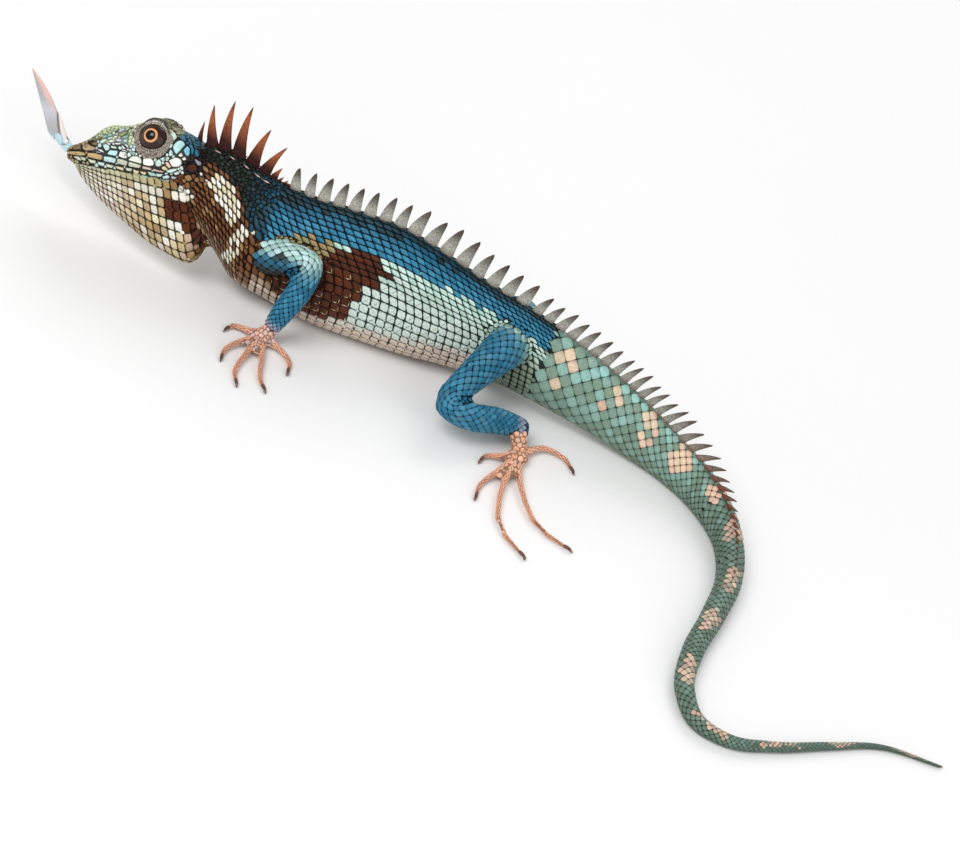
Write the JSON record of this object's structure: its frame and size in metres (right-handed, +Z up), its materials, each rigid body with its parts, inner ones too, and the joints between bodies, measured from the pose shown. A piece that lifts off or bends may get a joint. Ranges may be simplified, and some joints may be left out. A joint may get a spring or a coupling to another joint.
{
  "type": "life-size museum model of a nose-horned agamid lizard",
  "caption": "Still life-size nose-horned lizard resting on the floor, head bowed over a hanging throat pouch, with nape and back crest, spread toes and a long curved tail.",
  "frame": {"origin": "middle of the belly's flat, on the floor the lizard rests on", "axes": "-X the way the head points, -Y out of the lizard's left side, +Z up"},
  "size_m": [0.181, 0.0842, 0.0307],
  "materials": {
    "head_plates": "smooth keratin plates, pale blue and white, faint gloss",
    "lip_plates": "smooth lip scales, tan to pale blue",
    "pouch_scales": "square flat scales, cream to olive brown",
    "nape_scales": "fine granular scales, black brown",
    "back_scales": "keeled diamond scales, blue over mint flanks",
    "tail_base_scales": "large square scales, teal green with salmon blotches",
    "tail_end_scales": "narrow keeled scales, teal and salmon",
    "limb_scales": "overlapping scales, blue",
    "digit_scales": "small scales, orange pink, dark claws",
    "eye": "wet gloss",
    "horn": "translucent keratin, satin"
  },
  "bodies": {
    "root": {"head": "head_plates", "jaw": "lip_plates", "throat_pouch": "pouch_scales", "neck": "nape_scales", "torso_front": "back_scales", "torso_rear": "back_scales", "tail_1": "tail_base_scales", "tail_2": "tail_base_scales", "tail_3": "tail_base_scales", "tail_4": "tail_end_scales", "tail_5": "tail_end_scales", "tail_6": "tail_end_scales", "upper_arm_left": "limb_scales", "forearm_left": "limb_scales", "thigh_left": "limb_scales", "shin_left": "limb_scales", "hand_left": "digit_scales", "foot_left": "digit_scales", "eye_left": "eye", "upper_arm_right": "limb_scales", "forearm_right": "limb_scales", "thigh_right": "limb_scales", "shin_right": "limb_scales", "hand_right": "digit_scales", "foot_right": "digit_scales", "eye_right": "eye", "horn": "horn"}
  },
  "joints": []
}
